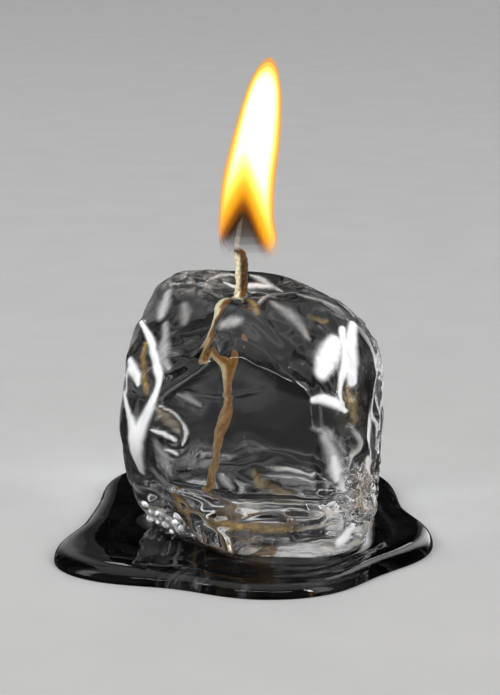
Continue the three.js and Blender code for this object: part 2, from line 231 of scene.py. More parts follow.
class Finish:
    """A material under construction."""

    def __init__(self, name):
        self.material = bpy.data.materials.new(name)
        self.material.use_nodes = True
        self.tree = self.material.node_tree
        self.tree.nodes.clear()

    def node(self, kind, settings=None, values=None, out=0):
        """Adds a node: first its settings, then the numbers, colours or wires of its sockets."""
        made = self.tree.nodes.new(kind)
        for key, value in (settings or {}).items():
            if key == "stops":
                self.set_stops(made.color_ramp, value)
            else:
                setattr(made, key, value)
        for key, value in (values or {}).items():
            socket = made.inputs[key]
            if isinstance(value, Wire):
                self.tree.links.new(value.socket, socket)
            else:
                socket.default_value = value
        return Wire(self, made.outputs[out])

    @staticmethod
    def set_stops(ramp, stops):
        while len(ramp.elements) < len(stops):
            ramp.elements.new(0.5)
        for element, (place, colour) in zip(ramp.elements, stops):
            element.position = place
            element.color = (*colour, 1)

    def place(self):
        return self.node("ShaderNodeTexCoord", out="Object")

    def axis(self, letter, vector=None):
        return self.node("ShaderNodeSeparateXYZ", None, {0: vector or self.place()}, out=letter)

    def attribute(self, name):
        return self.node("ShaderNodeAttribute", {"attribute_name": name}, out="Fac")

    def stretched(self, scale):
        return self.node("ShaderNodeMapping", None, {"Vector": self.place(), "Scale": scale})

    def warped(self, scale, amount):
        """Places pushed about by noise, so that a regular pattern laid over them loses its regular look."""
        push = self.node("ShaderNodeTexNoise", None, {"Vector": self.place(), "Scale": scale}, out="Color")
        pushed = self.node("ShaderNodeVectorMath", {"operation": "SCALE"}, {0: push, "Scale": amount})
        return self.node("ShaderNodeVectorMath", None, {0: self.place(), 1: pushed})

    def noise(self, scale, detail=3, vector=None, distortion=0):
        """Noise whose patches are about 1 / scale metres across."""
        values = {"Vector": vector or self.place(), "Scale": scale, "Detail": detail}
        values["Distortion"] = distortion
        return self.node("ShaderNodeTexNoise", None, values)

    def cracks(self, scale, vector=None):
        """Distance to the nearest border between random cells."""
        settings = {"feature": "DISTANCE_TO_EDGE"}
        return self.node("ShaderNodeTexVoronoi", settings, {"Vector": vector or self.place(), "Scale": scale})

    def mix(self, factor, first, second):
        """first where factor is 0, second where it is 1."""
        values = {0: factor, 6: first, 7: second}
        return self.node("ShaderNodeMix", {"data_type": "RGBA"}, values, out=2)

    def ramp(self, factor, stops):
        return self.node("ShaderNodeValToRGB", {"stops": stops}, {"Fac": factor})

    def bump(self, height, distance, strength=1, normal=None):
        values = {"Height": height, "Distance": distance, "Strength": strength}
        if normal:
            values["Normal"] = normal
        return self.node("ShaderNodeBump", None, values)

    def principled(self, **values):
        named = {key.replace("_", " "): value for key, value in values.items()}
        return self.node("ShaderNodeBsdfPrincipled", None, named)

    def blend(self, factor, first, second):
        return self.node("ShaderNodeMixShader", None, {0: factor, 1: first, 2: second})

    def done(self, shader):
        output = self.tree.nodes.new("ShaderNodeOutputMaterial")
        self.tree.links.new(shader.socket, output.inputs["Surface"])
        return self.material

    def clear_shadow(self, shader, tint):
        """Lets light pass straight through for shadows, as it would after bending through the clear melt."""
        shadow_ray = self.node("ShaderNodeLightPath", out="Is Shadow Ray")
        through = self.node("ShaderNodeBsdfTransparent", None, {"Color": (*tint, 1)})
        return self.blend(shadow_ray, shader, through)


def dress(piece, material, slot, *nodes):
    """Gives a piece its finish, and stands it in for its CAD nodes."""
    piece.data.materials.clear()
    piece.data.materials.append(material)
    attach(piece, "root")
    if nodes:
        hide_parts(*nodes)
    print(piece.name, "is dressed in", material.name)


# %% [markdown]
# ## The form of the block
# Melting rounds a cube unevenly, so the block is described by flat facets that flow into each other. For a
# direction from its middle, each facet gives how far out it lies, and a high power mean of them all gives a
# surface with rounded edges. Hollows push it in, chips cut it, and low ripples run over it.

# %% The block's facets
BLOCK_MIDDLE = np.array([0, 0, 20.0])
EDGE_SHARPNESS = 24
BLOCK_SIDES = [
    ((-1, 0, -0.03), 18.6),
    ((1, 0.03, -0.03), 20.2),
    ((0, -1, 0.02), 19.8),
    ((0.04, 1, 0), 19.6),
    ((0.05, -0.02, 1), 20.2),
    ((0, 0, -1), 23),
    ((-0.9, 0.05, 0.42), 22),
    ((-0.5, -0.42, 0.75), 19.5),
    ((-0.4, 0.5, 0.77), 24.6),
    ((0.34, -0.56, 0.76), 21.4),
    ((0.45, -0.62, 0.64), 23.2),
    ((0.5, 0.2, 0.84), 21.5),
    ((0.84, 0.1, 0.53), 21.9),
    ((0.12, 0.62, 0.78), 22.6),
    ((-0.62, -0.78, 0.02), 22.1),
    ((0.6, -0.8, 0.04), 22.4),
    ((0.88, -0.46, 0), 22.6),
    ((-0.7, 0.71, 0), 24.4),
    ((0.72, 0.69, 0), 25.6),
    ((-0.8, 0, -0.6), 22.6),
    ((0.7, 0, -0.71), 25.9),
    ((-0.58, -0.6, -0.55), 21.2),
    ((0.1, 0.72, -0.69), 25.5),
]
HOLLOWS = [
    ((-1.2, 0.3, 40), 3.3, 3.7),
    ((-14, -17, 14), 1.3, 4),
    ((-19, -10, 27), 0.9, 3.5),
    ((15, -17, 13), 1.2, 4),
    ((17, -15, 29), 0.8, 3),
    ((2, -20, 21), 0.5, 7),
    ((-6, 20, 16), 1.1, 5),
    ((9, 18, 31), 0.9, 4),
]
CHIPS = [
    ((28.2, -8, 25), 9.2),
    ((28.6, 6, 22), 9.6),
    ((27.6, -9, 12), 8.6),
    ((27.6, 4, 10), 8.4),
    ((25.6, 14, 29), 9),
]
RIPPLE_DEPTH = 0.16
HALVINGS = 24

normals = np.array([normal for normal, _ in BLOCK_SIDES], float)
normals /= np.linalg.norm(normals, axis=1, keepdims=True)
facets = normals / np.array([reach for _, reach in BLOCK_SIDES])[:, None]


def block_reach(direction):
    """Distance from the block's middle to its surface. The facets' outward shares are raised to a high power,
    summed, and the root taken, which rounds the edges. Bell-shaped hollows are taken off, the near side of
    each chip's ball cuts in, and products of sines ripple it."""
    shares = np.maximum(direction @ facets.T, 0) ** EDGE_SHARPNESS
    reach = shares.sum(-1) ** (-1 / EDGE_SHARPNESS)
    point = direction * reach[..., None] + BLOCK_MIDDLE
    melted = np.zeros_like(reach)
    for place, depth, radius in HOLLOWS:
        melted += depth * np.exp(-((point - place) ** 2).sum(-1) / (2 * radius**2))
    chipped = np.full_like(reach, np.inf)
    for place, radius in CHIPS:
        away = np.array(place) - BLOCK_MIDDLE
        nearest = direction @ away
        chord = radius**2 - away @ away + nearest**2
        bite = nearest - np.sqrt(np.maximum(chord, 0))
        chipped = np.minimum(chipped, np.where((chord > 0) & (nearest > 0), bite, np.inf))
    x, y, z = np.moveaxis(direction, -1, 0)
    broad = np.sin(7 * x + 3 * z + 1) * np.sin(6 * y - 4 * z)
    fine = np.sin(11 * z + 5 * x) * np.sin(9 * x - 7 * y + 2)
    return np.minimum(reach - melted, chipped) + RIPPLE_DEPTH * (broad + 0.5 * fine)


def inside_block(points):
    """Whether points lie in the block: nearer its middle than its surface is that way."""
    offset = points - BLOCK_MIDDLE
    distance = np.linalg.norm(offset, axis=-1)
    return distance < block_reach(offset / np.maximum(distance, 1e-9)[..., None])


def way_out(starts, headings, longest):
    """How far along each heading a point that starts in the block comes out of it, found by halving."""
    near = np.zeros(headings.shape[:-1])
    far = np.full(headings.shape[:-1], float(longest))
    for _ in range(HALVINGS):
        middle = (near + far) / 2
        inside = inside_block(starts + headings * middle[..., None])
        near = np.where(inside, middle, near)
        far = np.where(inside, far, middle)
    return near


print("top of the block in mm:", (BLOCK_MIDDLE[2] + block_reach(np.array([[0, 0, 1.0]]))).round(1))

# %% [markdown]
# ## Marks seen in the photograph
# Curved ridges of melt run down the block's left side, and chips lie on the right. Bright strips and patches
# along the marks are painted highlights, and golden ones are painted reflections of the wick and the flame.
# Each mark is a line through a few pixels of the photograph. A sight line from the camera carries it onto the
# block, so it stays on the surface from every side.

# %% Marks on the block
# Each mark has its pixels, its half widths in mm from one end to the other, how far it stands out in mm, and
# how bright its painted white highlight is and how golden it is from 0 to 1. Golden marks are painted
# reflections, placed where the block bends the wick or the flame's light into view.
MARKS = {
    "left ridge": (
        [(143, 323), (151, 339), (158, 363), (158, 382), (151, 406), (142, 428), (138, 448), (142, 472)],
        (0.35, 0.6, 0.75, 0.7, 0.8, 1.05, 1.2, 0.6), 0.26, 1, 0,
    ),
    "outer left wedge": ([(131, 361), (134, 369), (138, 377), (140, 385)], (0.6, 1, 0.85, 0.4), 0.2, 0.95, 0),
    "outer left rim": ([(130, 370), (127, 384), (126, 395)], (0.3, 0.25, 0.3), 0.15, 0.7, 0),
    "outer left ridge": (
        [(124, 392), (128, 408), (133, 422), (136, 440), (138, 458), (141, 470)],
        (0.3, 0.6, 1.1, 1.15, 1, 0.5), 0.22, 0.95, 0,
    ),
    "left golden streak": (
        [(147, 344), (145, 358), (145, 374), (147, 394)],
        (0.5, 0.8, 0.7, 0.5), 0.1, 0.5, 1,
    ),
    "upper left blob": ([(168, 296), (165, 306), (163, 318)], (1.2, 1.7, 1.1), 0.15, 0.46, 0),
    "upper left blob, faint": ([(185, 306), (186, 314), (186, 324)], (1, 1.6, 1), 0.1, 0.3, 0),
    "left shoulder wash": (
        [(166, 326), (166, 342), (164, 358), (169, 368)],
        (0.9, 1.1, 1.6, 0.8), 0.1, 0.4, 0,
    ),
    "shell rim": (
        [(160, 406), (174, 413), (183, 424), (186, 434), (182, 446)],
        (0.2, 0.3, 0.3, 0.45, 0.2), 0.3, 0.6, 0,
    ),
    "shell streak": ([(152, 430), (163, 434), (174, 441)], (0.2, 0.5, 0.35), 0.2, 0.75, 0),
    "shell streak, low": ([(164, 450), (171, 452), (177, 455)], (0.2, 0.35, 0.3), 0.2, 0.6, 0),
    "shell gold": ([(157, 409), (167, 418), (176, 430)], (1.1, 1.6, 0.8), -0.25, 0.4, 0.7),
    "shell floor": ([(156, 444), (163, 458), (168, 472)], (1, 1.8, 1), -0.3, 0.33, 0.1),
    "shell floor, low": ([(153, 470), (161, 478), (172, 488)], (1, 1.5, 0.8), -0.2, 0.36, 0.1),
    "left streak": ([(178, 394), (190, 399), (200, 405)], (0.3, 0.8, 0.5), 0.12, 0.33, 0),
    "middle line": ([(184, 391), (205, 396), (225, 397), (265, 390)], (0.2, 0.28, 0.28, 0.15), 0.1, 0.19, 0),
    "middle blob": ([(224, 325), (230, 323), (237, 322)], (1.4, 1.9, 1.2), 0.1, 0.4, 0),
    "under the dish": ([(250, 300), (254, 305), (256, 313)], (0.6, 1, 0.7), 0, 0.42, 1),
    "dish rim, left": ([(207, 281), (217, 277), (228, 275), (237, 277)], (0.3, 0.7, 0.9, 0.5), 0.15, 0.46, 0),
    "dish rim, front": (
        [(224, 283), (234, 288), (248, 287), (266, 287), (282, 292)],
        (0.3, 0.6, 0.9, 0.6, 0.3), 0.15, 0.6, 0,
    ),
    "dish rim, right": ([(251, 276), (260, 279), (268, 285), (277, 291)], (0.4, 0.9, 0.7, 0.3), 0.15, 0.5, 0),
    "upper right sweep": (
        [(259, 303), (266, 297), (278, 294), (293, 293)],
        (0.4, 0.8, 0.7, 0.3), 0.12, 0.42, 0.2,
    ),
    "upper right streak": (
        [(273, 303), (287, 313), (299, 326), (308, 340)],
        (0.8, 1.5, 1.2, 0.6), 0.12, 0.32, 0.1,
    ),
    "top right sweep": ([(298, 295), (325, 303), (348, 315)], (0.4, 0.8, 0.5), 0.12, 0.35, 0),
    "right shoulder gold": ([(309, 317), (317, 319), (326, 321)], (0.6, 0.9, 0.6), 0, 0.33, 1),
    "right oval": ([(334, 342), (330, 351), (326, 361), (322, 373)], (1.2, 1.75, 1.75, 1.2), 0.25, 1, 0),
    "right thin strip": (
        [(341, 330), (343, 348), (343, 365), (340, 384), (339, 398), (342, 404)],
        (0.5, 0.55, 0.75, 0.6, 0.5, 0.3), 0.22, 1, 0,
    ),
    "right strip": (
        [(351, 326), (350, 337), (349, 350), (349, 367), (351, 383)],
        (0.7, 1, 1.2, 1.1, 0.6), 0.25, 1, 0,
    ),
    "right gold": ([(349, 388), (351, 402), (355, 420)], (0.7, 1.2, 0.9), -0.15, 0.4, 0.9),
    "right wedge": ([(313, 400), (322, 399), (333, 403), (344, 411)], (0.5, 0.8, 0.75, 0.35), 0.22, 1, 0),
    "right slant": ([(312, 428), (328, 434), (345, 452)], (0.6, 0.9, 0.5), 0.15, 0.3, 0),
    "right lower strip": (
        [(322, 436), (328, 447), (334, 460), (338, 474), (342, 490)],
        (0.8, 1.4, 1.7, 1.3, 0.6), 0.25, 0.45, 0,
    ),
    "right lower glint": ([(331, 456), (333, 466), (336, 478)], (0.7, 1.5, 0.8), 0.1, 0.75, 0),
    "right flake": (
        [(350, 427), (357, 436), (359, 446), (350, 458), (346, 470)],
        (0.4, 0.6, 0.6, 0.4, 0.4), 0.35, 0.42, 0,
    ),
    # Painted highlights: a warm glint of the flame's light on the right side, and its fainter halo.
    "right warm_glint": ([(367, 459), (368, 464), (368, 470)], (0.6, 1.1, 0.6), 0.2, 1, 0.25),
    "right warm_glint, glow": ([(365, 470), (366, 478), (364, 486)], (0.9, 1.2, 0.8), 0.2, 0.36, 0.6),
    "foot groove": (
        [(168, 488), (185, 490), (202, 494), (230, 502), (262, 502), (290, 503), (325, 503), (349, 493)],
        (0.5, 0.8, 0.8, 0.5), -0.6, 0, 0,
    ),
    "low golden spot": ([(254, 470), (259, 482), (274, 489), (292, 494)], (0.6, 1.2, 0.9, 0.5), 0.1, 0.36, 1),
    "low grey spot": ([(221, 476), (226, 481), (232, 487)], (0.7, 1.1, 0.6), 0.1, 0.34, 0),
    "foot glint, right": ([(337, 542), (344, 536), (352, 526)], (0.6, 1, 0.5), 0.25, 0.9, 0),
    "foot swirl": (
        [(322, 522), (330, 513), (341, 517), (338, 528), (328, 529)],
        (0.3, 0.6, 0.5, 0.5, 0.3), 0.25, 0.42, 0.2,
    ),
    "foot glints, left": (
        [(141, 502), (155, 511), (168, 516), (178, 530)],
        (0.6, 0.9, 0.8, 0.5), 0.2, 0.8, 0,
    ),
}


def on_block(pixels):
    """Points where sight lines through the pixels first meet the block, searched from just in front of it. A
    line that passes it by gives the place on the block that it passes closest to."""
    lines = sight_lines(pixels)
    steps = EYE_DISTANCE - 45 + np.arange(0, 90, 0.2)
    offset = eye + lines[:, None] * steps[:, None] - BLOCK_MIDDLE
    distance = np.linalg.norm(offset, axis=-1)
    direction = offset / distance[..., None]
    reach = block_reach(direction)
    gap = distance - reach
    met = np.where((gap < 0).any(1), (gap < 0).argmax(1), gap.argmin(1))
    line = np.arange(len(lines))
    return BLOCK_MIDDLE + direction[line, met] * reach[line, met, None]


def near_line(points, line, half_widths):
    """A bell across a line: 1 on the line, falling off over the half width it has there. The half widths
    follow one another evenly from the line's start to its end."""
    nearest = np.full(points.shape[:-1], np.inf)
    place = np.zeros(points.shape[:-1])
    for index, (start, end) in enumerate(zip(line[:-1], line[1:])):
        along = end - start
        share = np.clip((points - start) @ along / (along @ along), 0, 1)
        distance = np.linalg.norm(points - start - share[..., None] * along, axis=-1)
        place = np.where(distance < nearest, (index + share) / (len(line) - 1), place)
        nearest = np.minimum(nearest, distance)
    width = np.interp(place, np.linspace(0, 1, len(half_widths)), half_widths)
    return np.exp(-((nearest / width) ** 2))


curves = {name: smooth_path(np.array(pixels), 24)[0] for name, (pixels, *_) in MARKS.items()}
lines_on_block = {name: on_block(curve) for name, curve in curves.items()}
print("left ridge starts at", lines_on_block["left ridge"][0].round(1))

# %% The block's surface
BLOCK_ROWS = 232
BLOCK_COLUMNS = 400
# The shell-shaped dent on the left front, with rings in it like those of a shell.
SHELL_PIXEL = (172, 440)
SHELL_DEPTH = 0.5
SHELL_RADIUS = 3.4
SHELL_RING_RISE = 0.14
SHELL_RING_GAP = 1.2


def value_noise(points, scale, seed):
    """Smooth noise from -1 to 1: a sum of eight sine waves in random directions, one patch per scale mm."""
    random = np.random.default_rng(seed)
    waves = random.normal(size=(8, 3))
    waves *= 2 * np.pi / scale / np.linalg.norm(waves, axis=1, keepdims=True)
    phases = random.uniform(0, 2 * np.pi, 8)
    return np.sin(points @ waves.T + phases).mean(-1) * 1.8


def block_surface():
    """A grid of bearings and tilts from the block's middle. The reach that way gives each point, marks raise
    or lower it, creased noise roughens the chips, the sides and the foot, and whatever would lie under the
    table is drawn up to it."""
    direction = ball_grid(BLOCK_ROWS, BLOCK_COLUMNS)
    reach = block_reach(direction)
    point = direction * reach[..., None] + BLOCK_MIDDLE
    milky = np.zeros_like(reach)
    golden = np.zeros_like(reach)
    # Each mark leaves its painted highlight and its painted gold reflection as masks for the finish.
    for name, (_, half_widths, rise, strength, gold_reflection) in MARKS.items():
        near = near_line(point, lines_on_block[name], half_widths)
        golden = np.where(strength * near > milky, gold_reflection, golden)
        milky = np.maximum(milky, strength * near)
        reach = reach + rise * near
    shell = np.linalg.norm(point - on_block([SHELL_PIXEL])[0], axis=-1)
    rings = SHELL_RING_RISE * np.cos(2 * np.pi * shell / SHELL_RING_GAP) - SHELL_DEPTH
    reach = reach + rings * np.exp(-((shell / SHELL_RADIUS) ** 2))
    x, y, z = np.moveaxis(point, -1, 0)
    chipped = smooth_step(x, 13.5, 17) * smooth_step(z, 4, 10) * smooth_step(33 - z, 0, 5)
    chipped *= smooth_step(value_noise(point, 9, 3), -0.6, 0.4)
    grain = smooth_step(z, 37.5, 39.5) * smooth_step(-x, 1, 8) * smooth_step(y, -8, 2)
    creases = 0.5 - np.abs(value_noise(point, 5.5, 5)) + 0.5 * (0.5 - np.abs(value_noise(point, 2.6, 6)))
    reach = reach + 0.8 * chipped * creases + 0.08 * grain * value_noise(point, 1.6, 7)
    sides = smooth_step(np.abs(x - 0.5), 8.5, 12.5) * smooth_step(z, 3, 9)
    drawn = point * [1, 1, 0.38]
    runs = 0.45 - np.abs(value_noise(drawn, 9, 21)) + 0.45 * (0.45 - np.abs(value_noise(drawn, 4.5, 22)))
    top_front = smooth_step(z, 29, 33) * smooth_step(-y, 4, 9)
    reach = reach + (0.55 * sides * (1 - chipped) + 0.25 * top_front) * runs
    foot = smooth_step(12.5 - z, 0, 4)
    reach = reach + 0.3 * foot * (0.4 - np.abs(value_noise(point * [0.7, 1, 1.6], 6, 31)))
    reach = reach + 0.07 * value_noise(point, 6, 11)
    down = np.maximum(-direction[..., 2], 1e-6)
    reach = np.minimum(reach, BLOCK_MIDDLE[2] / down)
    masks = {"milky": milky, "golden": golden, "chipped": chipped, "grain": grain, "foot": foot}
    return direction * reach[..., None] + BLOCK_MIDDLE, masks


grid, masks = block_surface()
points, faces = closed_rings(grid)
for key, mask in masks.items():
    masks[key] = np.concatenate([mask.reshape(-1), [mask[0].mean(), mask[-1].mean()]])
block = make_mesh("block_body", points, faces, masks)

# %% [markdown]
# ## The clear melt
# Clear wax and ice both bend light strongly and show the world through themselves. Where the surface is
# chipped or holds tiny bubbles it turns white. Along the marks and over the foot, white and gold are painted
# highlights and painted reflections. So the finish is a clear one and a white, shiny one, mixed by a mask
# from the chips, the grain and these painted marks, with fine noise breaking its edge up.

# %% The block's finish
MELT_IOR = 1.38


def clear_melt():
    finish = Finish("clear_melt")
    fine = finish.noise(900, 4)
    soft = finish.noise(160, 2)
    chipped = finish.attribute("chipped")
    grain = finish.attribute("grain")
    # golden is the marks' painted gold reflection of the wick and the flame.
    golden = finish.attribute("golden")
    foot = finish.attribute("foot")
    crackle = finish.cracks(420, finish.warped(500, 0.003))
    crack_line = 1 - crackle.between(0, 0.05)
    waves = finish.bump(soft, 0.0006, 0.35)
    bumpy = finish.bump(0.6 * crackle * chipped + 0.25 * fine * grain, 0.0012, 0.8, waves)
    # The grey tint is painted shade: it darkens all that shows through the block.
    clear = finish.principled(
        Base_Color=(0.8, 0.81, 0.83, 1),
        Roughness=0.012 + 0.12 * chipped * fine + 0.25 * grain * fine,
        IOR=MELT_IOR,
        Transmission_Weight=1,
        Normal=bumpy,
    )
    # Painted light: white and partly tan streaks over the foot stand for what the foot bends into view.
    streaks = finish.noise(380, 5, finish.stretched((0.3, 0.3, 1.4)), 0.6)
    painted_foot_streaks = foot * streaks.between(0.46, 0.7)
    white = finish.ramp(soft, [(0.3, (0.88, 0.9, 0.93)), (0.7, (0.98, 0.98, 0.97))])
    # Painted reflection: golden marks and the foot's painted streaks take this tan colour.
    gold_reflection_colour = finish.ramp(fine, [(0.3, (0.2, 0.12, 0.035)), (0.7, (0.62, 0.42, 0.16))])
    warm = (golden + painted_foot_streaks * finish.noise(240, 2).between(0.4, 0.6) * 0.6).clipped()
    shine = finish.principled(
        Base_Color=finish.mix(warm, white, gold_reflection_colour),
        Roughness=0.2,
        IOR=MELT_IOR,
        Coat_Weight=0.8,
        Normal=waves,
    )
    # Painted highlight: the marks' mask turns the block white and shiny along them.
    painted_highlight_marks = (finish.attribute("milky") * (0.8 + 0.4 * fine)).between(0.08, 0.85)
    # White crack lines in the chips: partly the whitening of real cracks, partly painted glints.
    cracks_and_glints = crack_line * chipped * soft.between(0.42, 0.6) * 0.7
    frost = 0.1 * chipped + 0.35 * grain * fine.between(0.4, 0.7)
    mask = (painted_highlight_marks + cracks_and_glints + frost + 0.6 * painted_foot_streaks).clipped()
    melt = finish.blend(mask, clear, shine)
    return finish.done(finish.clear_shadow(melt, (0.88, 0.9, 0.91)))


dress(block, clear_melt(), "clear_melt", "clear_block")

# %% [markdown]
# ## The wick
# The wick is a cord of three strands laid round each other. Each strand is a tube carried along a helix, and
# the helix follows the wick's wandering middle line. Towards the flame the cord burns down to one thin
# strand.

# %% The wick's strands
WICK_PATH = np.array([
    (6.6, -0.6, 3.2),
    (3.4, -0.2, 2.7),
    (0, 0.2, 3),
    (-3.2, 0.3, 4.6),
    (-4.9, 0.2, 8.4),
    (-5, 0, 13),
    (-4.2, 0.2, 18),
    (-3.1, 0.3, 23),
    (-2.6, 0.1, 28),
    (-2.5, 0, 32.5),
    (-1.5, 0, 37),
    (-1.3, 0, 41),
    (-1.35, 0, 44.2),
    (-2, 0.05, 45.5),
    (-1.85, 0.1, 47.5),
    (-1.4, 0, 49.8),
    (-0.75, 0, 52),
])
WICK_RADIUS = 1.0
BURNT_FROM = 44.4
LAY_LENGTH = 8.0
STRANDS = 3
STRAND_SHARE = 0.66


def tube(path, radius, columns=14):
    """Rings round a path: at each point two directions square to it, and a circle of the given radius."""
    along = np.gradient(path, axis=0)
    along /= np.linalg.norm(along, axis=1, keepdims=True)
    sideways = np.cross(along, [0, 1, 0])
    sideways /= np.linalg.norm(sideways, axis=1, keepdims=True)
    forwards = np.cross(along, sideways)
    turn = full_turn(columns)
    circle = np.cos(turn)[:, None] * sideways[:, None] + np.sin(turn)[:, None] * forwards[:, None]
    return path[:, None] + circle * np.reshape(radius, (-1, 1, 1)), sideways, forwards


def wick_mesh(rows=420):
    """Each strand's middle circles the wick's own path once in a lay length, a third of a turn from the next.
    Burnt strands draw in, and a low ripple along each gives its fibres."""
    path, lengths = smooth_path(WICK_PATH, rows)
    height = path[:, 2]
    standing = np.arange(rows) > rows // 4
    burnt = smooth_step(height, BURNT_FROM, BURNT_FROM + 1.5) * standing
    taper = 0.42 - 0.16 * smooth_step(height, BURNT_FROM, 52)
    whole = WICK_RADIUS * (0.78 + 0.22 * smooth_step(height, 30, 34))
    thickness = (1 - burnt) * whole + burnt * taper
    _, sideways, forwards = tube(path, thickness)
    points, faces, char, pale = [], [], [], []
    for strand in range(STRANDS):
        turn = 2 * np.pi * (lengths / LAY_LENGTH + strand / STRANDS)
        off = (1 - STRAND_SHARE) * thickness
        middle = path + off[:, None] * (np.cos(turn)[:, None] * sideways + np.sin(turn)[:, None] * forwards)
        fibres = 1 + 0.05 * np.sin(lengths * 9 + strand) + 0.03 * np.sin(lengths * 23 + 2 * strand)
        rings, _, _ = tube(middle, STRAND_SHARE * thickness * fibres)
        strand_points, strand_faces = closed_rings(rings, None, sum(map(len, points)))
        points.append(strand_points)
        faces += strand_faces
        char.append(np.concatenate([np.repeat(burnt, rings.shape[1]), [0, 1]]))
        # Painted highlight: each strand's left side is marked pale, more so higher up.
        leftward = (path[:, None, 0] - rings[..., 0]) / thickness[:, None]
        lit_left = smooth_step(leftward, -0.05, 0.4) * (0.15 + 0.85 * smooth_step(height, 22, 38))[:, None]
        pale.append(np.concatenate([lit_left.reshape(-1), [0, 0]]))
    attributes = {"char": np.concatenate(char), "pale": np.concatenate(pale)}
    return make_mesh("wick_cord", np.concatenate(points), faces, attributes)


wick = wick_mesh()

# %% The cord's finish


def cord():
    finish = Finish("cord")
    fibre = finish.noise(2600, 4, finish.stretched((1, 1, 0.25)))
    patch = finish.noise(350, 3)
    char = finish.attribute("char")
    stops = [(0.25, (0.06, 0.024, 0.003)), (0.5, (0.15, 0.062, 0.008)), (0.75, (0.27, 0.12, 0.018))]
    golden = finish.ramp(patch, stops)
    height = finish.axis("Z")
    warm = finish.mix(fibre.between(0.35, 0.7), golden, (0.2, 0.085, 0.012, 1))
    deep = finish.mix(0.6 * height.between(0.037, 0.041), warm, (0.01, 0.003, 0.0005, 1))
    # The pale left side is a painted highlight.
    cord_with_painted_highlight = finish.mix(finish.attribute("pale"), deep, (0.96, 0.88, 0.6, 1))
    brown = finish.ramp(fibre, [(0.3, (0.07, 0.04, 0.012)), (0.7, (0.2, 0.12, 0.04))])
    dull = finish.mix(height.between(0.004, 0.011), (0.075, 0.055, 0.035, 1), brown)
    threads = finish.mix(height.between(0.008, 0.03), dull, cord_with_painted_highlight)
    soot = finish.ramp(fibre, [(0.35, (0.02, 0.016, 0.012)), (0.75, (0.16, 0.11, 0.07))])
    # Above 46 mm the strand is pale grey: partly ash, partly a painted highlight.
    ash_and_highlight = finish.ramp(fibre, [(0.35, (0.6, 0.57, 0.52)), (0.7, (0.92, 0.9, 0.85))])
    burnt = finish.mix(height.between(0.0452, 0.0462), soot, ash_and_highlight)
    cord_colour = finish.mix((char + 0.3 * (patch - 0.5) * char).between(0.1, 0.8), threads, burnt)
    shader = finish.principled(
        Base_Color=cord_colour,
        Roughness=0.45 + 0.4 * char,
        Specular_IOR_Level=0.2,
        Normal=finish.bump(fibre, 0.0002, 0.8),
        Coat_Weight=0.15 - 0.1 * char,
    )
    return finish.done(shader)


dress(wick, cord(), "cord", "wick")

# %% [markdown]
# ## The pool of melt in the dish
# Melted wax fills the dish round the wick to a level, and creeps up the cord by its surface tension. The ring
# is a section carried round the wick: out along the level, and back along the dish's floor.

# %% The pool
POOL_MIDDLE = np.array([-1.3, 0])
POOL_LEVEL = 38.45
POOL_INNER = 0.9
POOL_WIDEST = 9
BELOW_THE_DISH = 30.0


def surface_above(x, y):
    """Height of the block's top over points of the table."""
    starts = stacked(x, y, BELOW_THE_DISH)
    up = np.broadcast_to(np.array([0, 0, 1.0]), starts.shape)
    return BELOW_THE_DISH + way_out(starts, up, 20)


def pool_mesh(columns=120, across=26):
    """For each bearing the pool ends where the dish's floor comes up to its level. Its top climbs towards the
    wick, and its underside lies a hair inside the block."""
    bearing = full_turn(columns)[:, None]
    radii = np.linspace(POOL_INNER, POOL_WIDEST, 160)[None, :]
    x = POOL_MIDDLE[0] + radii * np.cos(bearing)
    y = POOL_MIDDLE[1] + radii * np.sin(bearing)
    over = surface_above(x, y) > POOL_LEVEL
    outer = np.where(over.any(1), radii[0, over.argmax(1)], 5.5)
    outer = np.convolve(np.tile(outer, 3), np.ones(9) / 9, "same")[columns : 2 * columns]
    share = np.linspace(0, 1, across)[None, :]
    radius = POOL_INNER + (outer[:, None] - POOL_INNER) * share
    x = POOL_MIDDLE[0] + radius * np.cos(bearing)
    y = POOL_MIDDLE[1] + radius * np.sin(bearing)
    creep = 0.5 * np.exp(-(radius - POOL_INNER) / 0.45)
    rounded = 0.12 * np.sqrt(np.maximum(1 - share**6, 0))
    top = stacked(x, y, POOL_LEVEL - 0.1 + creep + rounded)
    floor = np.minimum(surface_above(x, y) - 0.06, top[..., 2] - 0.05)
    below = stacked(x, y, floor)[:, ::-1]
    section = np.concatenate([top, below], 1)
    faces = grid_faces(columns, section.shape[1], joined_rows=True)
    return make_mesh("pool_liquid", section.reshape(-1, 3), [faces])


pool = pool_mesh()

# %% [markdown]
# ## The puddle
# Liquid on a table spreads in lobes and stops at a steep, rounded rim, because surface tension holds it
# together. Against the block it climbs a little. One section is worked out for every bearing at once.

# %% The puddle's shape
PUDDLE_HEIGHT = 2.3
PUDDLE_EDGE = 3.4
PUDDLE_REACH = 25.6
# Each lobe has its bearing in degrees, its length in mm and its spread in degrees.
PUDDLE_LOBES = [(217, 7.2, 17), (288, 3.9, 22), (349, 3.4, 15), (61, 9, 16), (92, 4, 16), (129, 9.5, 17)]


def puddle_reach(bearing):
    """The puddle's radius: a round one with a bell-shaped lobe added at each lobe's bearing."""
    reach = np.full_like(bearing, PUDDLE_REACH)
    for middle, length, spread in PUDDLE_LOBES:
        sharpness = 1 / math.radians(spread) ** 2
        reach += length * np.exp(sharpness * (np.cos(bearing - math.radians(middle)) - 1))
    return reach + 0.25 * np.sin(5 * bearing + 1) + 0.12 * np.sin(11 * bearing)


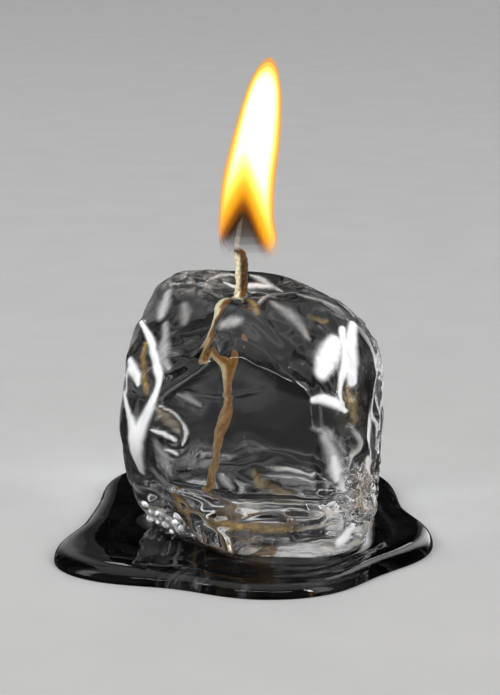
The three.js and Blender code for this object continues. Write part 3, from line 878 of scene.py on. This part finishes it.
def puddle_mesh(columns=420, across=46, edge=22):
    """Outwards over the top, which climbs at the block and sags a little on its way to the rim, then down the
    rim, a quarter of an ellipse with its powers changed, and back along the table to inside the block."""
    bearing = full_turn(columns)[:, None]
    heading = stacked(np.cos(bearing), np.sin(bearing), 0)
    start = np.broadcast_to([0, 0, PUDDLE_HEIGHT], heading.shape)
    wall = way_out(start, heading, 40)
    outer = puddle_reach(bearing)
    inner = wall - 0.5
    shoulder = outer - PUDDLE_EDGE
    share = np.linspace(0, 1, across)[None, :-1] ** 1.4
    radius = inner + (shoulder - inner) * share
    climb = 1.0 * np.exp(-np.maximum(radius - wall, 0) / 0.9)
    sag = -0.25 * np.sin(np.pi * share) ** 2
    wobble = 0.05 * np.sin(9 * bearing + 0.7 * radius) * np.sin(np.pi * share)
    level = PUDDLE_HEIGHT + climb + sag + wobble
    top = stacked(radius * np.cos(bearing), radius * np.sin(bearing), level)
    turn = np.linspace(0, np.pi / 2, edge)[None, :]
    rim_radius = shoulder + PUDDLE_EDGE * np.sin(turn) ** 0.9
    rim_height = PUDDLE_HEIGHT * np.cos(turn) ** 0.8
    rim = stacked(rim_radius * np.cos(bearing), rim_radius * np.sin(bearing), rim_height)
    under = stacked(inner * np.cos(bearing), inner * np.sin(bearing), 0)
    section = np.concatenate([top, rim, under], 1)
    faces = grid_faces(columns, section.shape[1], joined_rows=True)
    return make_mesh("puddle_liquid", section.reshape(-1, 3), [faces])


puddle = puddle_mesh()

# %% The liquids' finish


def liquid(name, tint, shadow, ripple):
    finish = Finish(name)
    broad = finish.noise(90, 2)
    fine = finish.noise(700, 3)
    dust = fine.between(0.72, 0.8)
    shader = finish.principled(
        Base_Color=finish.mix(broad.between(0.3, 0.7), (*tint, 1), (*(0.85 * value for value in tint), 1)),
        Roughness=0.01 + 0.05 * dust,
        IOR=MELT_IOR,
        Transmission_Weight=1,
        Normal=finish.bump(broad, ripple, 0.5),
    )
    return finish.done(finish.clear_shadow(shader, shadow))


clear_liquid = liquid("pool_melt", (0.97, 0.97, 0.96), (0.95, 0.95, 0.95), 0.0002)
# The puddle's near-black tint is painted shade: it stands for a dark ground seen in and through the clear
# melt.
painted_dark_liquid = liquid("puddle_melt", (0.06, 0.06, 0.065), (0.35, 0.35, 0.35), 0.0006)
dress(pool, clear_liquid, "pool_melt", "melt_pool")
dress(puddle, painted_dark_liquid, "puddle_melt", "melt_puddle")

# %% [markdown]
# ## Beads of melt
# Where the foot drips, small beads cling to the block and sit on the puddle. They are squashed balls. Sight
# lines place them where the photograph shows them, and a seeded random draw gives their sizes.

# %% Beads
BEAD_PIXELS = [(146, 503), (152, 511), (160, 513), (168, 518), (175, 522), (172, 531), (166, 524), (158, 522)]
BEAD_PIXELS += [(178, 515), (170, 536), (151, 518), (181, 528)]
BEAD_RADII = (0.3, 0.75)
BEAD_SQUASH = 0.9


def bead_mesh(rows=14, columns=20):
    """Every bead is the same grid on a ball, scaled and moved as one array, half sunk where it clings."""
    middles = on_block(BEAD_PIXELS)
    random = np.random.default_rng(4)
    radii = random.uniform(*BEAD_RADII, len(middles))
    ball = ball_grid(rows, columns)
    points, faces = [], []
    for middle, radius in zip(middles, radii):
        rings = middle + ball * radius * np.array([1, 1, BEAD_SQUASH])
        bead_points, bead_faces = closed_rings(rings, None, sum(map(len, points)))
        points.append(bead_points)
        faces += bead_faces
    return make_mesh("melt_beads", np.concatenate(points), faces)


def bead_melt():
    """Half clear and half white: the white is partly tiny bubbles, partly painted highlights."""
    finish = Finish("bead_melt")
    pale = (0.96, 0.96, 0.97, 1)
    clear = finish.principled(Base_Color=pale, Roughness=0.05, IOR=MELT_IOR, Transmission_Weight=1)
    white = finish.principled(Base_Color=pale, Roughness=0.15, IOR=MELT_IOR, Coat_Weight=0.8)
    bubbles_and_highlights = finish.noise(1300, 3).between(0.3, 0.6)
    return finish.done(finish.blend(bubbles_and_highlights, clear, white))


dress(bead_mesh(), bead_melt(), "clear_melt")

# %% [markdown]
# ## The flame
# A flame is glowing gas: it has no surface, it is brightest where the eye looks through most of it, and it is
# dark round the wick, where the wax vapour hasn't lit. Nested thin shells give that from every side, all
# equally see-through. Their glow goes from brown over the wick to white above it, and is orange at the skin.

# %% The flame's shells
# Each station has its height, its middle and its half width, in mm.
FLAME_STATIONS = np.array([
    (44, -0.1, 3.9),
    (47, -0.25, 4.45),
    (50.5, -0.55, 4.25),
    (56, -0.2, 4.05),
    (62.2, 0.9, 3.7),
    (68.2, 1.85, 2.95),
    (72.4, 2.5, 2.15),
    (74.6, 2.95, 1.5),
])
FLAME_LIP = FLAME_STATIONS[0, 0]
FLAME_TIP = FLAME_STATIONS[-1, 0]
# Its depth as a share of its width, its shells with the inmost one's share of the way in, how far the lip
# rises and the tip sinks towards the core, and how high the hollow over the wick reaches.
FLAME_DEPTH = 0.9
SHELLS = 11
INMOST_SHARE = 0.9
LIP_RISE = 12
TIP_FALL = 8
HOLLOW_TOP = 52.5
LIP_TUCK = 0.93


def flame_line(height):
    """The flame's middle and half width at a height, on a smooth curve through the stations."""
    curve, _ = smooth_path(FLAME_STATIONS, 400)
    return np.interp(height, curve[:, 0], curve[:, 1]), np.interp(height, curve[:, 0], curve[:, 2])


def flame_shell(share, columns=48, up=60, hollow=22):
    """The rings and end points of one shell, share 0 on the outside and towards 1 at the core. Going in, it
    gets narrower, its lip rises and its tip sinks, and the hollow over the wick narrows to nothing."""
    lip = FLAME_LIP + LIP_RISE * share**0.85
    tip = FLAME_TIP - TIP_FALL * share
    apex = max(HOLLOW_TOP + 2.2 * share, lip + 0.4)
    shrink = 1 - share
    down = (np.arange(1, hollow) / (hollow - 1))[:, None]
    rise = np.sin(np.pi / 2 * np.linspace(0, 1, up + 1)[:-1])[:, None]
    hollow_height = apex + (lip - apex) * down**1.3
    mantle_height = lip + (tip - lip) * rise
    lip_width = flame_line(np.array([lip]))[1] * shrink * LIP_TUCK
    widths = [lip_width * down**0.8]
    blend = smooth_step(mantle_height, lip, lip + 1.5)
    climbed = np.clip((mantle_height - lip) / (tip - lip), 0, 1)
    true_width = flame_line(mantle_height)[1] * shrink * np.sqrt(1 - climbed**16)
    tucked = lip_width / LIP_TUCK * (LIP_TUCK + (1 - LIP_TUCK) * blend)
    widths.append((1 - blend) * tucked + blend * true_width)
    height = np.concatenate([hollow_height, mantle_height])
    width = np.concatenate(widths)
    middle = flame_line(height)[0]
    bearing = full_turn(columns)[None, :]
    rings = stacked(middle + width * np.cos(bearing), FLAME_DEPTH * width * np.sin(bearing), height)
    end_heights = np.array([apex, tip])
    return rings, stacked(flame_line(end_heights)[0], 0, end_heights)


# The dark zone over the wick is an inverted V: its tip's place, how steeply it falls on each side, and how
# blunt its tip is, in mm.
DARK_TIP = (-0.6, 56)
DARK_SLOPES = (1.9, 2.9)
DARK_BLUNT = 0.7


def glow_at(x, height, depth):
    """How far a point lies above the inverted V, as a share of the rise from dark to white. Near the flame's
    skin it stays below the white's share."""
    from_tip = x - DARK_TIP[0]
    slope = np.where(from_tip < 0, DARK_SLOPES[0], DARK_SLOPES[1])
    away = np.sqrt(from_tip**2 + DARK_BLUNT**2) - DARK_BLUNT
    above = height - DARK_TIP[1] + slope * away
    return np.minimum(np.clip((above + 6) / 12, 0, 1), 0.38 + 1.9 * depth)


def flame_mesh():
    points, faces, glow = [], [], []
    for index in range(SHELLS):
        share = INMOST_SHARE * index / (SHELLS - 1)
        shell_points, shell_faces = closed_rings(*flame_shell(share), sum(map(len, points)))
        points.append(shell_points)
        faces += shell_faces
        glow.append(glow_at(shell_points[:, 0], shell_points[:, 2], share))
    return make_mesh("flame_glow", np.concatenate(points), faces, {"glow": np.concatenate(glow)})


flame = flame_mesh()

# %% The flame's finish


def flame_finish():
    finish = Finish("flame")
    glow = finish.attribute("glow")
    height = finish.axis("Z")
    colour = finish.ramp(
        glow,
        [
            (0.0, (0.001, 0.0004, 0.0002)),
            (0.12, (0.004, 0.0012, 0.0002)),
            (0.25, (0.04, 0.012, 0.0006)),
            (0.38, (0.12, 0.046, 0.0016)),
            (0.52, (0.2, 0.11, 0.006)),
            (0.68, (0.36, 0.27, 0.05)),
            (0.84, (0.7, 0.62, 0.32)),
            (1.0, (1.0, 1.0, 0.92)),
        ],
    )
    lit = 0.3 + 0.7 * glow.between(0, 0.25)
    alpha = 0.44 * lit * height.between(0.0436, 0.0485)
    shader = finish.principled(
        Base_Color=(0.02, 0.01, 0.005, 1),
        Roughness=1,
        Specular_IOR_Level=0,
        Emission_Color=colour,
        Emission_Strength=8,
        Alpha=alpha,
    )
    return finish.done(shader)


dress(flame, flame_finish(), "flame", "flame")
flame.visible_shadow = False

# %% [markdown]
# ## The studio
# Clear things are drawn by what they reflect and bend. Soft boxes stand left, right and behind, above a pale
# floor. A dark sheet and cards show only through the melt and in its gloss. The flame lights the block's top.

# %% Floor, lamps and world
# The floor and the sheet lie a hair under the table's level, in metres.
FLOOR_LEVEL = -0.00005
SHEET_LEVEL = -0.00003
# Each card has its bearing in degrees from the front to the right, its distance, width and height in metres,
# its brightness at its foot and at its top, and how streaked it is.
CARDS = [
    ("back dark card", 180, 0.05, 0.062, 0.1, 0.05, 0.012, 0.75),
    ("right back card", 133, 0.066, 0.034, 0.11, 2.6, 2.6, 0),
    ("left back card", -133, 0.066, 0.034, 0.11, 0.6, 0.6, 0),
    ("right dark card", 95, 0.07, 0.05, 0.1, 0.02, 0.02, 0),
    ("left dark card", -95, 0.07, 0.05, 0.1, 0.02, 0.02, 0),
    ("right front card", 55, 0.16, 0.06, 0.16, 3, 3, 0),
    ("left front card", -60, 0.16, 0.06, 0.16, 3, 3, 0),
]
# Each soft box has its place, its aim and its size in metres, and its power in watts.
LAMPS = [
    ("left box", (-1.4, -0.65, 1.05), (0, 0, 0.02), (0.3, 1.05), 20),
    ("right box", (1.25, -1.1, 0.95), (0, 0, 0.02), (0.3, 0.9), 20),
    ("back box", (0.25, 2.0, 1.4), (0, 0, 0.02), (1.75, 0.6), 10),
    ("overhead", (0, 0, 3), (0, 0, 0), (4, 4), 32),
    ("front strip", (0, -0.8, 0.7), (0, 0, 0), (0.9, 0.06), 1.6),
]


def stage_mesh(name, points, face):
    """An object of one flat face, its points in metres."""
    mesh = bpy.data.meshes.new(name)
    mesh.from_pydata(points, [], [face])
    made = bpy.data.objects.new(name, mesh)
    bpy.context.scene.collection.objects.link(made)
    return made


def make_disc(name, radius, level, columns):
    """A level disc at a height, all in metres."""
    turn = full_turn(columns)
    points = stacked(radius * np.cos(turn), radius * np.sin(turn), level)
    return stage_mesh(name, points.tolist(), list(range(columns)))


def show_in_gloss(piece, finish, colour):
    """Makes a piece of the studio glow, seen only in gloss and through clear things, so it lights nothing."""
    piece.data.materials.append(finish.done(finish.node("ShaderNodeEmission", None, {"Color": colour})))
    piece.visible_camera = piece.visible_diffuse = piece.visible_shadow = False


def make_floor():
    floor = make_disc("floor", 6.0, FLOOR_LEVEL, 96)
    finish = Finish("floor")
    grain = finish.noise(60, 3)
    colour = finish.ramp(grain, [(0.3, (0.44, 0.44, 0.44)), (0.7, (0.46, 0.46, 0.46))])
    matt = finish.principled(Base_Color=colour, Roughness=0.9, Specular_IOR_Level=0)
    floor.data.materials.append(finish.done(matt))


def make_lamp(name, place, aim, size, power):
    """A soft box in metres, turned to face its aim."""
    light = bpy.data.lights.new(name, "AREA")
    light.shape = "RECTANGLE"
    light.size, light.size_y = size
    light.energy = power
    lamp = bpy.data.objects.new(name, light)
    lamp.location = place
    lamp.rotation_euler = (Vector(aim) - Vector(place)).to_track_quat("-Z", "Y").to_euler()
    bpy.context.scene.collection.objects.link(lamp)


# The room's brightness by height: dark all round, as for glass, and a soft light overhead.
SKY_LEVELS = [(0.0, 0.2), (0.1, 0.14), (0.3, 0.1), (0.7, 0.12), (1.0, 0.5)]


def make_world():
    world = bpy.data.worlds.new("studio")
    world.use_nodes = True
    nodes, links = world.node_tree.nodes, world.node_tree.links
    way = nodes.new("ShaderNodeTexCoord")
    parts = nodes.new("ShaderNodeSeparateXYZ")
    sky = nodes.new("ShaderNodeValToRGB")
    Finish.set_stops(sky.color_ramp, [(place, (level,) * 3) for place, level in SKY_LEVELS])
    links.new(way.outputs["Generated"], parts.inputs[0])
    links.new(parts.outputs["Z"], sky.inputs["Fac"])
    links.new(sky.outputs["Color"], nodes["Background"].inputs["Color"])
    bpy.context.scene.world = world


def make_card(name, turn, distance, width, height, foot_level, top_level, streaked):
    """A standing card beside the object, its face towards it. Its brightness goes from one level at its foot
    to another at its top, fades at its sides, and sinks by the streaked share in level streaks."""
    side = Vector((math.sin(turn), -math.cos(turn), 0))
    across = Vector((math.cos(turn), math.sin(turn), 0)) * width / 2
    rise = Vector((0, 0, height))
    foot = side * distance
    corners = [foot - across, foot + across, foot + across + rise, foot - across + rise]
    card = stage_mesh(name, [tuple(corner) for corner in corners], (0, 1, 2, 3))
    card.data.uv_layers.new(name="sheet").data.foreach_set("uv", [0, 0, 1, 0, 1, 1, 0, 1])
    finish = Finish(name)
    share = finish.node("ShaderNodeUVMap", {"uv_map": "sheet"})
    across_share = finish.axis("X", share)
    up_share = finish.axis("Y", share)
    soft = across_share.between(0, 0.35) * (1 - across_share.between(0.65, 1))
    level = finish.mix(up_share, (*[foot_level] * 3, 1), (*[top_level] * 3, 1))
    streaks = finish.noise(170, 3, finish.stretched((0.18, 0.18, 1))).between(0.35, 0.65)
    faded = finish.mix((0.3 + 0.7 * soft) * (1 - streaked * streaks), (0, 0, 0, 1), level)
    show_in_gloss(card, finish, faded)


def make_dark_sheet():
    """A disc just above the floor, like the dark ground that glass is photographed on. Low streaks keep it
    from being one flat tone."""
    sheet = make_disc("dark_sheet", 0.068, SHEET_LEVEL, 64)
    finish = Finish("dark_sheet")
    streaks = finish.noise(120, 3, finish.stretched((0.3, 1.6, 1)))
    tone = finish.ramp(streaks, [(0.35, (0.012, 0.012, 0.012)), (0.7, (0.08, 0.08, 0.08))])
    show_in_gloss(sheet, finish, tone)


def make_flame_light():
    """A small warm light inside the flame, which itself casts no shadow."""
    light = bpy.data.lights.new("flame light", "POINT")
    light.energy = 0.014
    light.color = (1, 0.66, 0.3)
    light.shadow_soft_size = 0.004
    lamp = bpy.data.objects.new("flame light", light)
    lamp.location = (0.0, 0.0, 0.058)
    bpy.context.scene.collection.objects.link(lamp)


make_dark_sheet()
for name, turn, *measures in CARDS:
    make_card(name, math.radians(turn), *measures)
make_floor()
make_world()
for lamp in LAMPS:
    make_lamp(*lamp)
make_flame_light()
print("cards:", len(CARDS), "lamps:", len(LAMPS) + 1)

bpy.context.scene.view_settings.view_transform = "Standard"
cycles = bpy.context.scene.cycles
cycles.transparent_max_bounces = 48
cycles.max_bounces = 12
cycles.transmission_bounces = 12
cycles.glossy_bounces = 4
